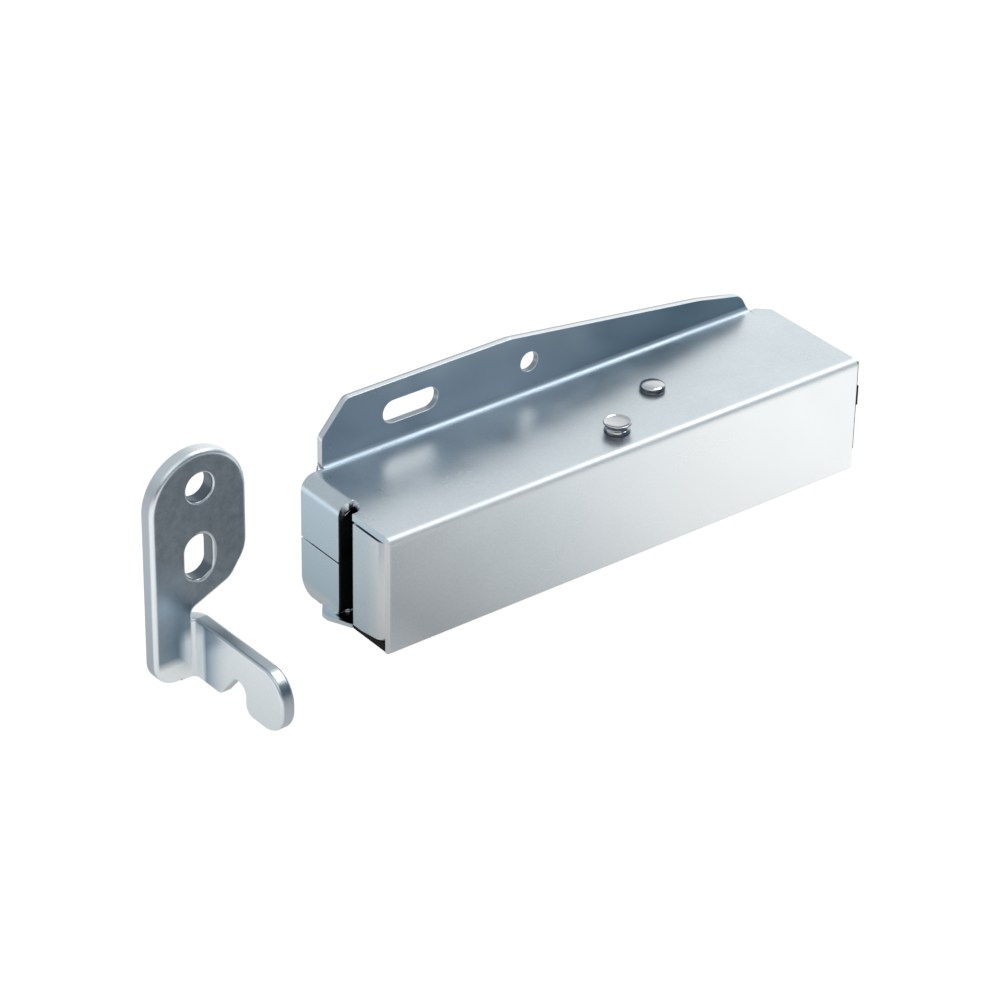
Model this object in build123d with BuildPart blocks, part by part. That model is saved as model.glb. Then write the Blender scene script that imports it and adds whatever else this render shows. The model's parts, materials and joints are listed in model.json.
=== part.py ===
"""Touch latch: sprung latch case and its separate hook strike. Millimetres.

X runs along the case from the slot end, +Y points into the mounting surface (plane Y = 0)
and +Z is up. Both pieces stand on the plane Z = 0 while they are drawn. The finished pieces
are moved so that the origin lies in the flange's round hole, on the mounting surface.
"""
import os
from math import cos, radians, sin

from build123d import *

os.makedirs("parts", exist_ok=True)

# Case sheet
case_length = 90.0
case_height = 19.8
case_depth = 23.8
sheet = 1.2
bend_inside = 0.3
front_edge = 1.0
bottom_plate_setback = 6.3
clip_along = 2.6
clip_across = 2.4

# Mounting flange
flange_start = 4.1
flange_end = case_length - 3.2
flange_top = case_height + 10.2
flange_shoulder = case_height + 4.8
flange_shoulder_run = 4.6
flange_flat_end = 39.0
flange_taper_middle = case_length - 13.4
flange_taper_level = case_height + 4.9
flange_taper_end = case_length - 4.8
flange_taper_height = case_height + 3.0
flange_bend = 0.8
flange_foot_relief = 0.3
flange_shoulder_round = 1.5
flange_flat_round = 8.0
flange_taper_round = 2.4
flange_slot_x = 20.4
flange_slot_length = 10.2
flange_slot_width = 3.8
flange_hole_x = 42.8
flange_hole_radius = 1.65
flange_hole_height = case_height + 5.1

# End flaps and arm slot
flap_bend = 2.5
flap_rear = -1.5
flap_seam = 9.5
flap_seam_gap = 0.25
flap_corner = 2.8
slot_centre_y = -12.7
slot_width = 3.5
slot_relief_depth = 2.2
slot_rear = slot_centre_y + slot_width / 2
slot_front = slot_centre_y - slot_width / 2
bottom_cutback = 2.6
tongue_front = slot_front + 0.05
tongue_rear = -6.9
tongue_reach = 1.75
tongue_thick = 0.7
tongue_tip_front = -10.6
tongue_tip_rear = -9.2
tongue_corner = 1.2
flap_heel = 0.1
flap_heel_round = 0.5

# Inner plate
inner_bend = 2.4
inner_gap = 0.1
inner_top = case_height - sheet - 0.5
inner_bottom = 1.5
inner_flap_bottom = 0.6
inner_flap_rise_y = -16.5
inner_end = case_length - 4.0
ear_start = 16.0
ear_end = 66.0
ear_top_rear = -3.0
ear_bottom_rear = -6.6
ear_corner = 1.0

# Rivets
front_rivet_x = 46.15
front_rivet_y = -18.5
rear_rivet_x = 58.4
rear_rivet_y = -11.9
rivet_shaft = 1.3
front_head = 2.2
front_head_height = 1.7
front_disc = 0.5
front_waist = 1.8
front_base = 0.7
front_base_radius = 2.05
rear_head = 2.0
rear_head_height = 1.15
rivet_foot = 2.2
rivet_fit = 0.05
head_edge = 0.25

# Slider travel and claw swing
travel = 7.5
claw_swing = 10.9
claw_pivot_x = 27.5
claw_pivot_y = -17.4

# Claw
claw_low = 5.7
claw_thick = 2.0
claw_hub = 2.6
claw_nose_x = 1.7
claw_nose_width = 2.2
claw_nose_tip_y = -14.85
claw_lever_y = -19.8
claw_lever_half = 1.0
claw_tail_length = 19.6
claw_tail_inner = 4.0
claw_tail_outer = -1.5
cam_run_out = 3.0
cam_steps = 7

# Cam roller, sleeve and washer
roller_radius = 1.7
roller_fit = 0.06
cam_clearance = 0.06
sleeve_radius = 2.1
washer_thick = 0.4
running_gap = 0.3

# Claw pin, ring and spring
pin_radius = 1.0
pin_fit = 0.04
pin_low = 3.4
pin_high = 14.3
ring_radius = 1.9
ring_thick = 0.4
ring_height = 13.6
wire_radius = 0.25
claw_coil_radius = 1.45
claw_coil_low = 8.75
claw_coil_start = 90
claw_coil_turns = 2.75
claw_coil_pitch = 0.55
claw_leg = 9.5
claw_post_x = 8.0
claw_post_radius = 0.6
claw_post_height = 1.6
leg_gap = 0.1

# Slider
slider_low = 2 * sheet + running_gap
slider_high = case_height - 2 * sheet - 2.2
head_high = case_height - 2 * sheet - running_gap
head_front = 17.0
head_back = 24.0
body_back = 46.0
body_rear_y = -2.6
body_front_y = -12.0
head_front_y = -14.9
lug_front_y = -19.2
lug_start = 24.4
lug_end = 30.6
lug_low_top = claw_low - running_gap
lug_high_low = 10.8
lug_high_top = lug_high_low + 2.2
lug_corner = 1.5
lug_room_depth = 0.8
lug_room_run = 2.0
rib_y = -7.6
rib_width = 1.4
rib_start = 18.0
rib_top = case_height - sheet - running_gap
rib_slot_width = rib_width + 2 * running_gap
slider_edge = 0.5

# Slider pad
pad_face = 14.5
pad_root = 19.0
pad_width = 4.4
pad_low = 6.4
pad_high = 14.2

# Heart track and index pawl
pawl_low = slider_high + running_gap
pawl_thick = 1.4
pawl_hub = 2.9
pawl_arm = 1.3
pawl_tip = 1.5
pawl_swing = 12.0
follower_x = 43.0
follower_y = -7.6
follower_radius = 0.6
track_clearance = 0.15
track_depth = 1.4
follower_tip_gap = 0.3
latched_travel = 5.0
track_steps = 5
pawl_coil_radius = sleeve_radius + 0.5
pawl_coil_low = pawl_low - 1.75
pawl_coil_start = -90
pawl_coil_turns = 1.75
pawl_coil_pitch = 0.55
pawl_leg = 4.3
pawl_post_x = -3.8
pawl_post_radius = 0.5
pawl_post_low = pawl_low - 2.3
pawl_post_pad = 1.0

# Arm guide, the insert behind the slot
guide_start = 2.6
guide_end = 13.9
guide_nose = 1.5
guide_nose_low = 3.0
guide_nose_high = 16.8
guide_front_y = -9.7
guide_floor = 0.9
guide_gap = 0.05
sill_top = 3.0
sill_lip_top = 0.55
sill_front_y = -20.7
sill_rear_y = -14.5
toe_start = 0.15
lip_start = 0.15
lip_thick = 0.25
lip_low = sheet + guide_gap
lip_high = guide_nose_high

# Main spring and rod
spring_y = -6.2
spring_z = 9.9
spring_wire = 0.45
spring_radius = 2.7
spring_turns = 11
rod_radius = 1.4
rod_bore = 1.48
rod_tip = 42.0
rod_bore_end = 33.0
rod_head = 2.4
rod_head_thick = 1.5

# End block
block_start = case_length - 6.0
block_proud = 1.3
block_bump = 0.3
block_bump_low = 10.8
block_bump_high = 14.2
block_low = 3.0
block_gap = 0.1
block_rear_y = -2.2
block_recess = 3.0

# Strike
strike_x = -24.26
strike_y = -8.95
strike_turn = 1.5
strike_sheet = 2.3
strike_width = 16.6
strike_height = 37.0
strike_step = 11.3
strike_shoulder = 18.4
strike_shoulder_round = 6.0
strike_slope_end = 5.4
strike_slope_height = 14.2
strike_slope_round = 3.5
strike_foot_round = 4.0
strike_hole_height = 31.2
strike_hole_radius = 2.3
strike_slot_height = 19.8
strike_slot_width = 4.8
strike_slot_length = 7.3
strike_edge = 0.8
strike_hole_edge = 0.4
arm_edge = 0.5
arm_face = -1.45
arm_height = 10.0
arm_length = 23.6
arm_nose = 4.6
arm_bend_inside = 0.8
arm_notch_start = 8.2
arm_notch_end = 14.5
arm_notch_depth = 4.5
arm_notch_slope_end = 11.9
arm_notch_lead_round = 1.2
arm_notch_back_round = 1.6
arm_bump_round = 1.0
arm_tip_round = 1.8
arm_relief = 1.1
arm_clear = 4.0
strike_hole_across = 0.2

# Values that follow from the sizes above
inner_face = -case_depth + sheet
inner_wall = inner_face + sheet
plate_under = case_height - sheet
ear_under = plate_under - sheet
ear_over = 2 * sheet
claw_high = claw_low + claw_thick
pawl_high = pawl_low + pawl_thick


def turned(x, y, degrees):
    """Point (x, y) turned about the origin, counter-clockwise from above."""
    c = cos(radians(degrees))
    s = sin(radians(degrees))
    return (x * c - y * s, x * s + y * c)


def at_points(found, *places):
    """Corners of the open sketch that stand at the given places."""
    return [
        v for v in found if any(abs(v.X - x) < 0.01 and abs(v.Y - y) < 0.01 for x, y in places)
    ]


def front_of(builder, plane, height):
    """Face of a part that lies at the given height over a plane."""
    return next(
        f for f in builder.faces() if abs(plane.to_local_coords(f.center()).Z - height) < 0.01
    )


def capsule(a, b, radius, mode=Mode.ADD):
    """Rounded bar between two points of the open sketch."""
    ends = [Edge.make_circle(radius, Plane(origin=(x, y, 0))) for x, y in (a, b)]
    make_hull(ends, mode=mode)


def torsion_spring(centre, radius, low, start, turns, pitch, first_leg, last_leg):
    """Coil of round wire with a straight leg at each end, for the builder that is open."""
    coil = Helix(pitch=pitch, height=pitch * turns, radius=radius)
    coil = (Pos(centre[0], centre[1], low) * Rot(0, 0, start) * coil).edge()
    first = Edge.make_line((coil @ 0) - (coil % 0) * first_leg, coil @ 0)
    last = Edge.make_line(coil @ 1, (coil @ 1) + (coil % 1) * last_leg)
    with BuildSketch(Plane(origin=first @ 0, z_dir=first % 0)) as section:
        Circle(wire_radius)
    sweep(section.sketch, path=Wire([first, coil, last]))


# Housing
with BuildPart() as housing:
    with BuildSketch(Plane.YZ):
        with BuildLine():
            Polyline(
                (-case_depth, 0),
                (-bottom_plate_setback, 0),
                (-bottom_plate_setback, sheet),
                (inner_face, sheet),
                (inner_face, plate_under),
                (0, plate_under),
                (0, flange_top),
                (-sheet, flange_top),
                (-sheet, case_height),
                (-case_depth, case_height),
                close=True,
            )
        make_face()
        fillet(
            at_points(vertices(), (inner_face, sheet), (inner_face, plate_under)),
            radius=bend_inside,
        )
        fillet(
            at_points(vertices(), (-case_depth, 0), (-case_depth, case_height)),
            radius=front_edge,
        )
        fillet(at_points(vertices(), (0, plate_under)), radius=flange_bend + sheet)
        fillet(at_points(vertices(), (-sheet, case_height)), radius=flange_bend)
    extrude(amount=case_length)
    # Flange outline
    with BuildSketch(Plane.XZ):
        with BuildLine():
            Polyline(
                (-1, case_height),
                (flange_start, case_height),
                (flange_start, flange_shoulder),
                (flange_start + flange_shoulder_run, flange_top),
                (flange_flat_end, flange_top),
                (flange_taper_middle, flange_taper_level),
                (flange_taper_end, flange_taper_height),
                (flange_end, case_height),
                (case_length + 1, case_height),
                (case_length + 1, flange_top + 1),
                (-1, flange_top + 1),
                close=True,
            )
        make_face()
        fillet(
            at_points(vertices(), (flange_taper_end, flange_taper_height)),
            radius=flange_taper_round,
        )
        fillet(
            at_points(vertices(), (flange_start + flange_shoulder_run, flange_top)),
            radius=flange_shoulder_round,
        )
        fillet(
            at_points(vertices(), (flange_start, flange_shoulder)), radius=flange_shoulder_round
        )
        fillet(at_points(vertices(), (flange_flat_end, flange_top)), radius=flange_flat_round)
    extrude(amount=sheet + 1, mode=Mode.SUBTRACT)
    # Top plate behind the flange's ends
    with BuildSketch(Plane.XY):
        with Locations((0, 0)):
            Rectangle(
                flange_start, 2 * (sheet + flange_foot_relief), align=(Align.MIN, Align.CENTER)
            )
        with Locations((case_length, 0)):
            Rectangle(
                case_length - flange_end,
                2 * (sheet + flange_foot_relief),
                align=(Align.MAX, Align.CENTER),
            )
        with BuildLine():
            Polyline(
                (case_length + 1, 1),
                (case_length + 1, -sheet - clip_across - 1),
                (case_length, -sheet - clip_across + 0.4),
                (case_length - clip_along - 1, 0.0),
                (case_length - clip_along - 1, 1),
                close=True,
            )
        make_face()
    extrude(amount=flange_top + 1, mode=Mode.SUBTRACT)
    # Room for the end flaps
    with BuildSketch(Plane.XY):
        with Locations((0, slot_centre_y)):
            Rectangle(
                flap_bend,
                -slot_centre_y - sheet - flange_foot_relief,
                align=(Align.MIN, Align.MIN),
            )
    extrude(amount=case_height, mode=Mode.SUBTRACT)
    # Upper and lower end flaps with their bends
    with BuildSketch(Plane.XZ.offset(-flap_rear)):
        with BuildLine():
            Polyline(
                (flap_bend, case_height),
                (0, case_height),
                (0, flap_seam + flap_seam_gap / 2),
                (sheet, flap_seam + flap_seam_gap / 2),
                (sheet, plate_under),
                (flap_bend, plate_under),
                close=True,
            )
        make_face()
        fillet(at_points(vertices(), (0, case_height)), radius=flap_bend - 0.01)
        fillet(at_points(vertices(), (sheet, plate_under)), radius=flap_bend - sheet - 0.01)
    extrude(amount=flap_rear - slot_rear + 0.5)
    with BuildSketch(Plane.XZ.offset(bottom_plate_setback)):
        with BuildLine():
            Polyline(
                (flap_bend, 0),
                (0, 0),
                (0, flap_seam - flap_seam_gap / 2),
                (sheet, flap_seam - flap_seam_gap / 2),
                (sheet, sheet),
                (flap_bend, sheet),
                close=True,
            )
        make_face()
        fillet(at_points(vertices(), (0, 0)), radius=flap_heel_round)
    extrude(amount=-bottom_plate_setback - slot_rear + 0.5)
    with BuildSketch(Plane.YZ):
        with BuildLine():
            Polyline(
                (-bottom_plate_setback - 1, flap_bend),
                (-bottom_plate_setback, flap_heel),
                (flap_rear, flap_heel),
                (flap_rear, flap_seam - flap_seam_gap / 2),
                (-bottom_plate_setback - 1, flap_seam - flap_seam_gap / 2),
                close=True,
            )
        make_face()
        fillet(at_points(vertices(), (flap_rear, flap_heel)), radius=flap_corner)
    extrude(amount=sheet)
    # Arm slot with its relief in the top plate
    with BuildSketch(Plane.XY.offset(-1)):
        with Locations((slot_relief_depth - slot_width / 2, slot_centre_y)):
            Circle(slot_width / 2)
        with Locations((slot_relief_depth - slot_width / 2, slot_centre_y)):
            Rectangle(slot_width, slot_width, align=(Align.MAX, Align.CENTER))
    extrude(amount=case_height + 2, mode=Mode.SUBTRACT)
    with BuildSketch(Plane.XY.offset(-1)):
        with Locations((-1, slot_centre_y)):
            Rectangle(1 + sheet, slot_width, align=(Align.MIN, Align.CENTER))
    extrude(amount=1 + case_height - flap_bend, mode=Mode.SUBTRACT)
    # Bottom plate set back under the inner plate's flap
    with BuildSketch(Plane.XY.offset(-1)):
        with Locations((-1, slot_front + 0.5)):
            Rectangle(
                bottom_cutback + 1, slot_front + 0.5 - inner_face, align=(Align.MIN, Align.MAX)
            )
    extrude(amount=1 + sheet + bend_inside, mode=Mode.SUBTRACT)
    # Coined tongue of the bottom plate under the slot
    with BuildSketch(Plane.XY):
        with BuildLine():
            Polyline(
                (bottom_cutback, tongue_front),
                (0, tongue_front),
                (-tongue_reach, tongue_tip_front),
                (-tongue_reach, tongue_tip_rear),
                (0, tongue_rear),
                (bottom_cutback, tongue_rear),
                close=True,
            )
        make_face()
        fillet(
            at_points(
                vertices(), (-tongue_reach, tongue_tip_front), (-tongue_reach, tongue_tip_rear)
            ),
            radius=tongue_corner,
        )
    extrude(amount=tongue_thick)
    # Rivet holes
    with BuildSketch(Plane.XY):
        with Locations((front_rivet_x, front_rivet_y), (rear_rivet_x, rear_rivet_y)):
            Circle(rivet_shaft + rivet_fit)
    extrude(amount=case_height, mode=Mode.SUBTRACT)
    with Locations(
        Location((front_rivet_x, front_rivet_y, 0)),
        Location((rear_rivet_x, rear_rivet_y, 0)),
    ):
        Cone(
            rivet_foot + rivet_fit,
            rivet_shaft + rivet_fit,
            rivet_foot - rivet_shaft,
            align=(Align.CENTER, Align.CENTER, Align.MIN),
            mode=Mode.SUBTRACT,
        )
    # Flange slot and hole
    with BuildSketch(Plane.XZ):
        with Locations((flange_slot_x, flange_hole_height)):
            SlotOverall(flange_slot_length, flange_slot_width)
        with Locations((flange_hole_x, flange_hole_height)):
            Circle(flange_hole_radius)
    extrude(amount=sheet, mode=Mode.SUBTRACT)
housing.part.label = "housing"

# Inner plate
with BuildPart() as inner_plate:
    with BuildSketch(Plane.XY.offset(inner_flap_bottom)):
        with BuildLine():
            Polyline(
                (inner_gap, slot_front),
                (inner_gap, inner_face),
                (inner_end, inner_face),
                (inner_end, inner_wall),
                (inner_gap + sheet, inner_wall),
                (inner_gap + sheet, slot_front),
                close=True,
            )
        make_face()
        fillet(at_points(vertices(), (inner_gap, inner_face)), radius=inner_bend)
        fillet(at_points(vertices(), (inner_gap + sheet, inner_wall)), radius=inner_bend - sheet)
    extrude(amount=inner_top - inner_flap_bottom)
    # Wall held clear of the bottom plate
    with BuildSketch(Plane.XY.offset(inner_flap_bottom)):
        with Locations((inner_gap + inner_bend, inner_face)):
            Rectangle(inner_end, sheet, align=(Align.MIN, Align.MIN))
    extrude(amount=inner_bottom - inner_flap_bottom, mode=Mode.SUBTRACT)
    # Lower edge of the end flap rising toward its bend
    with BuildSketch(Plane.YZ.offset(-1)):
        with BuildLine():
            Polyline(
                (inner_face - 1, inner_flap_bottom - 1),
                (inner_flap_rise_y, inner_flap_bottom - 1),
                (inner_flap_rise_y, inner_flap_bottom),
                (inner_face, inner_bottom),
                (inner_face - 1, inner_bottom),
                close=True,
            )
        make_face()
    extrude(amount=1 + inner_gap + inner_bend, mode=Mode.SUBTRACT)
    # Ears under the top plate and over the bottom plate
    for ear_low, ear_rear in ((ear_under, ear_top_rear), (sheet, ear_bottom_rear)):
        with BuildSketch(Plane.XY.offset(ear_low)):
            with Locations((ear_start, inner_face + bend_inside)):
                Rectangle(
                    ear_end - ear_start,
                    ear_rear - inner_face - bend_inside,
                    align=(Align.MIN, Align.MIN),
                )
            fillet(
                at_points(vertices(), (ear_start, ear_rear), (ear_end, ear_rear)), radius=ear_corner
            )
        extrude(amount=sheet)
    with BuildSketch(Plane.XY.offset(sheet)):
        with Locations((ear_start, inner_face + bend_inside)):
            Rectangle(ear_end - ear_start, sheet - bend_inside, align=(Align.MIN, Align.MIN))
    extrude(amount=plate_under - sheet)
    # Rivet holes and the slider rib's slot
    with BuildSketch(Plane.XY):
        with Locations((front_rivet_x, front_rivet_y), (rear_rivet_x, rear_rivet_y)):
            Circle(rivet_shaft + rivet_fit)
    extrude(amount=case_height, mode=Mode.SUBTRACT)
    with BuildSketch(Plane.XY.offset(ear_under)):
        with Locations((rib_start - 1, rib_y)):
            Rectangle(
                head_back - rib_start + travel + 2, rib_slot_width, align=(Align.MIN, Align.CENTER)
            )
    extrude(amount=sheet, mode=Mode.SUBTRACT)
inner_plate.part.label = "inner_plate"


def rivet_body(x, y):
    """Shaft and countersunk foot of a rivet, for the builder that is open."""
    with Locations(Location((x, y, 0))):
        Cylinder(rivet_shaft, case_height, align=(Align.CENTER, Align.CENTER, Align.MIN))
        Cone(
            rivet_foot,
            rivet_shaft,
            rivet_foot - rivet_shaft,
            align=(Align.CENTER, Align.CENTER, Align.MIN),
        )


# Front rivet, flared disc over a base flange
with BuildPart() as front_rivet:
    rivet_body(front_rivet_x, front_rivet_y)
    with Locations(Location((front_rivet_x, front_rivet_y, case_height))):
        Cylinder(front_base_radius, front_base, align=(Align.CENTER, Align.CENTER, Align.MIN))
        Cylinder(front_waist, front_head_height, align=(Align.CENTER, Align.CENTER, Align.MIN))
    with Locations(
        Location((front_rivet_x, front_rivet_y, case_height + front_head_height - front_disc))
    ):
        Cylinder(front_head, front_disc, align=(Align.CENTER, Align.CENTER, Align.MIN))
    chamfer(front_rivet.edges().group_by(Axis.Z)[-1], length=head_edge)
front_rivet.part.label = "front_rivet"

# Rear rivet, plain head
with BuildPart() as rear_rivet:
    rivet_body(rear_rivet_x, rear_rivet_y)
    with Locations(Location((rear_rivet_x, rear_rivet_y, case_height))):
        Cylinder(rear_head, rear_head_height, align=(Align.CENTER, Align.CENTER, Align.MIN))
    chamfer(rear_rivet.edges().group_by(Axis.Z)[-1], length=head_edge)
rear_rivet.part.label = "rear_rivet"

# Cam roller on the front rivet
with BuildPart() as cam_roller:
    with BuildSketch(Plane.XY.offset(ear_over)):
        with Locations((front_rivet_x, front_rivet_y)):
            Circle(roller_radius)
            Circle(rivet_shaft + roller_fit, mode=Mode.SUBTRACT)
    extrude(amount=ear_under - ear_over)
cam_roller.part.label = "cam_roller"

# Sleeve under the index pawl
with BuildPart() as pawl_sleeve:
    with BuildSketch(Plane.XY.offset(ear_over)):
        with Locations((rear_rivet_x, rear_rivet_y)):
            Circle(sleeve_radius)
            Circle(rivet_shaft + roller_fit, mode=Mode.SUBTRACT)
    extrude(amount=pawl_low - 0.05 - ear_over)
pawl_sleeve.part.label = "pawl_sleeve"

# Washer over the index pawl
with BuildPart() as pawl_washer:
    with BuildSketch(Plane.XY.offset(ear_under - washer_thick)):
        with Locations((rear_rivet_x, rear_rivet_y)):
            Circle(pawl_hub)
            Circle(rivet_shaft + roller_fit, mode=Mode.SUBTRACT)
    extrude(amount=washer_thick)
pawl_washer.part.label = "pawl_washer"

# Slider
track_plane = Plane.XY.offset(slider_high - track_depth)
arm_x = follower_x - rear_rivet_x
arm_y = follower_y - rear_rivet_y


def track_point(moved, degrees):
    """Place of the follower in the slider, with the slider moved and the pawl turned."""
    x, y = turned(arm_x, arm_y, degrees)
    return (rear_rivet_x + x - moved, rear_rivet_y + y)


outward = [
    track_point(travel * k / track_steps, -pawl_swing * k / track_steps)
    for k in range(track_steps + 1)
]
latched = track_point(latched_travel, 0)
mirrored = (outward[-1][0], 2 * follower_y - outward[-1][1])
track_radius = follower_radius + track_clearance

with BuildPart() as slider:
    with BuildSketch(Plane.XY.offset(slider_low)):
        with Locations((head_front, body_rear_y)):
            Rectangle(
                head_back - head_front, body_rear_y - head_front_y, align=(Align.MIN, Align.MAX)
            )
        with Locations((head_front, body_rear_y)):
            Rectangle(
                body_back - head_front, body_rear_y - body_front_y, align=(Align.MIN, Align.MAX)
            )
        fillet(
            at_points(vertices(), (head_front, body_rear_y), (head_front, head_front_y)),
            radius=slider_edge,
        )
    extrude(amount=slider_high - slider_low)
    with BuildSketch(Plane.XY.offset(slider_high)):
        with Locations((head_front, body_rear_y)):
            Rectangle(
                head_back - head_front, body_rear_y - body_front_y, align=(Align.MIN, Align.MAX)
            )
        fillet(vertices(), radius=slider_edge)
    extrude(amount=head_high - slider_high)
    # Guide rib on top
    with BuildSketch(Plane.XY.offset(slider_high)):
        with Locations((rib_start, rib_y)):
            Rectangle(
                head_back - rib_start, rib_width, align=(Align.MIN, Align.CENTER)
            )
    extrude(amount=rib_top - slider_high)
    # Lugs for the claw pin
    for lug_low, lug_top in ((slider_low, lug_low_top), (lug_high_low, lug_high_top)):
        with BuildSketch(Plane.XY.offset(lug_low)):
            with Locations(((lug_start + lug_end) / 2, body_front_y)):
                Rectangle(
                    lug_end - lug_start,
                    body_front_y - lug_front_y,
                    align=(Align.CENTER, Align.MAX),
                )
            fillet(
                at_points(vertices(), (lug_start, lug_front_y), (lug_end, lug_front_y)),
                radius=lug_corner,
            )
        extrude(amount=lug_top - lug_low)
    # Room for the claw's tail and lever in the head's side
    with BuildSketch(Plane.XY.offset(lug_low_top)):
        with Locations((head_front - 1, head_front_y - 1)):
            Rectangle(
                head_back - head_front + 1 + lug_room_run,
                1 + lug_room_depth,
                align=(Align.MIN, Align.MIN),
            )
    extrude(amount=lug_high_low - lug_low_top, mode=Mode.SUBTRACT)
    # Hole for the claw pin
    with BuildSketch(Plane.XY.offset(pin_low)):
        with Locations((claw_pivot_x, claw_pivot_y)):
            Circle(pin_radius)
    extrude(amount=lug_high_top - pin_low, mode=Mode.SUBTRACT)
    # Seat for the pad
    with BuildSketch(Plane.YZ.offset(head_front)):
        with Locations((slot_centre_y, (pad_low + pad_high) / 2)):
            RectangleRounded(pad_width - 1.2, pad_high - pad_low - 1.2, 0.6)
    extrude(amount=pad_root - head_front, mode=Mode.SUBTRACT)
    # Bore for the spring's rod
    with BuildSketch(Plane.YZ.offset(rod_bore_end)):
        with Locations((spring_y, spring_z)):
            Circle(rod_bore)
    extrude(amount=body_back - rod_bore_end, mode=Mode.SUBTRACT)
    # Heart-shaped track round its island, open toward the back
    with BuildSketch(track_plane):
        with BuildLine():
            Polyline(*outward, latched, mirrored, close=True)
        heart = make_face()
        offset(amount=track_radius)
        with Locations(outward[0]):
            Rectangle(body_back, 2 * track_radius, align=(Align.MIN, Align.CENTER))
        offset(heart, amount=-track_radius, kind=Kind.INTERSECTION, mode=Mode.SUBTRACT)
    extrude(amount=track_depth, mode=Mode.SUBTRACT)
slider.part.label = "slider"

# Slider pad
with BuildPart() as slider_pad:
    with BuildSketch(Plane.YZ.offset(pad_face)):
        with Locations((slot_centre_y, (pad_low + pad_high) / 2)):
            RectangleRounded(pad_width, pad_high - pad_low, 0.9)
    extrude(amount=head_front - pad_face)
    fillet(slider_pad.edges().group_by(Axis.X)[0], radius=0.6)
    with BuildSketch(Plane.YZ.offset(head_front)):
        with Locations((slot_centre_y, (pad_low + pad_high) / 2)):
            RectangleRounded(pad_width - 1.2, pad_high - pad_low - 1.2, 0.6)
    extrude(amount=pad_root - head_front)
slider_pad.part.label = "slider_pad"

# Claw, drawn about its pivot
claw_plane = Plane(origin=(claw_pivot_x, claw_pivot_y, claw_low))
nose_tip = claw_nose_tip_y - claw_pivot_y
nose_left = claw_nose_x - claw_pivot_x
nose_right = nose_left + claw_nose_width
lever_y = claw_lever_y - claw_pivot_y


def roller_place(moved):
    """Place of the roller in the claw's own frame, with the slider moved."""
    return turned(
        front_rivet_x - claw_pivot_x - moved,
        front_rivet_y - claw_pivot_y,
        claw_swing * moved / travel,
    )


cam_path = [
    roller_place(-cam_run_out + (travel + cam_run_out) * k / cam_steps) for k in range(cam_steps + 1)
]
with BuildPart() as claw:
    with BuildSketch(claw_plane):
        with BuildLine():
            Polyline(
                (0, claw_hub - 0.9),
                (nose_right, lever_y + claw_lever_half),
                (nose_right, nose_tip),
                (nose_left + 0.6, nose_tip),
                (nose_left, nose_tip - 1.2),
                (nose_left, lever_y - claw_lever_half),
                (nose_right, lever_y - claw_lever_half),
                (0, -claw_hub + 0.9),
                close=True,
            )
        make_face()
        Circle(claw_hub)
        with Locations((0, (claw_tail_inner + claw_tail_outer) / 2)):
            Rectangle(
                claw_tail_length, claw_tail_inner - claw_tail_outer, align=(Align.MIN, Align.CENTER)
            )
        for a, b in zip(cam_path, cam_path[1:]):
            capsule(a, b, roller_radius + cam_clearance, mode=Mode.SUBTRACT)
        # Open on the wall's side of the cam
        Polygon(
            cam_path[-1],
            cam_path[0],
            (cam_path[0][0], claw_tail_outer - 1),
            (cam_path[-1][0], claw_tail_outer - 1),
            align=None,
            mode=Mode.SUBTRACT,
        )
        Circle(pin_radius + pin_fit, mode=Mode.SUBTRACT)
    extrude(amount=claw_thick)
    # Post that the claw spring's leg bears on
    with BuildSketch(claw_plane):
        with Locations(
            (claw_post_x, claw_coil_radius - wire_radius - claw_post_radius - leg_gap)
        ):
            Circle(claw_post_radius)
    extrude(amount=claw_thick + claw_post_height)
claw.part.label = "claw"

# Claw pin
with BuildPart() as claw_pin:
    with Locations(Location((claw_pivot_x, claw_pivot_y, pin_low))):
        Cylinder(pin_radius, pin_high - pin_low, align=(Align.CENTER, Align.CENTER, Align.MIN))
    chamfer(claw_pin.edges().group_by(Axis.Z)[-1], length=head_edge)
claw_pin.part.label = "claw_pin"

# Retaining ring on the claw pin
with BuildPart() as claw_ring:
    with BuildSketch(Plane.XY.offset(ring_height)):
        with Locations((claw_pivot_x, claw_pivot_y)):
            Circle(ring_radius)
            Circle(pin_radius, mode=Mode.SUBTRACT)
        with Locations((claw_pivot_x, claw_pivot_y)):
            Rectangle(ring_radius + 1, 1.1, align=(Align.MAX, Align.CENTER), mode=Mode.SUBTRACT)
    extrude(amount=ring_thick)
claw_ring.part.label = "claw_ring"

# Claw spring
with BuildPart() as claw_spring:
    torsion_spring(
        (claw_pivot_x, claw_pivot_y),
        claw_coil_radius,
        claw_coil_low,
        claw_coil_start,
        claw_coil_turns,
        claw_coil_pitch,
        claw_leg,
        body_front_y - claw_pivot_y - leg_gap,
    )
claw_spring.part.label = "claw_spring"

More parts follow.
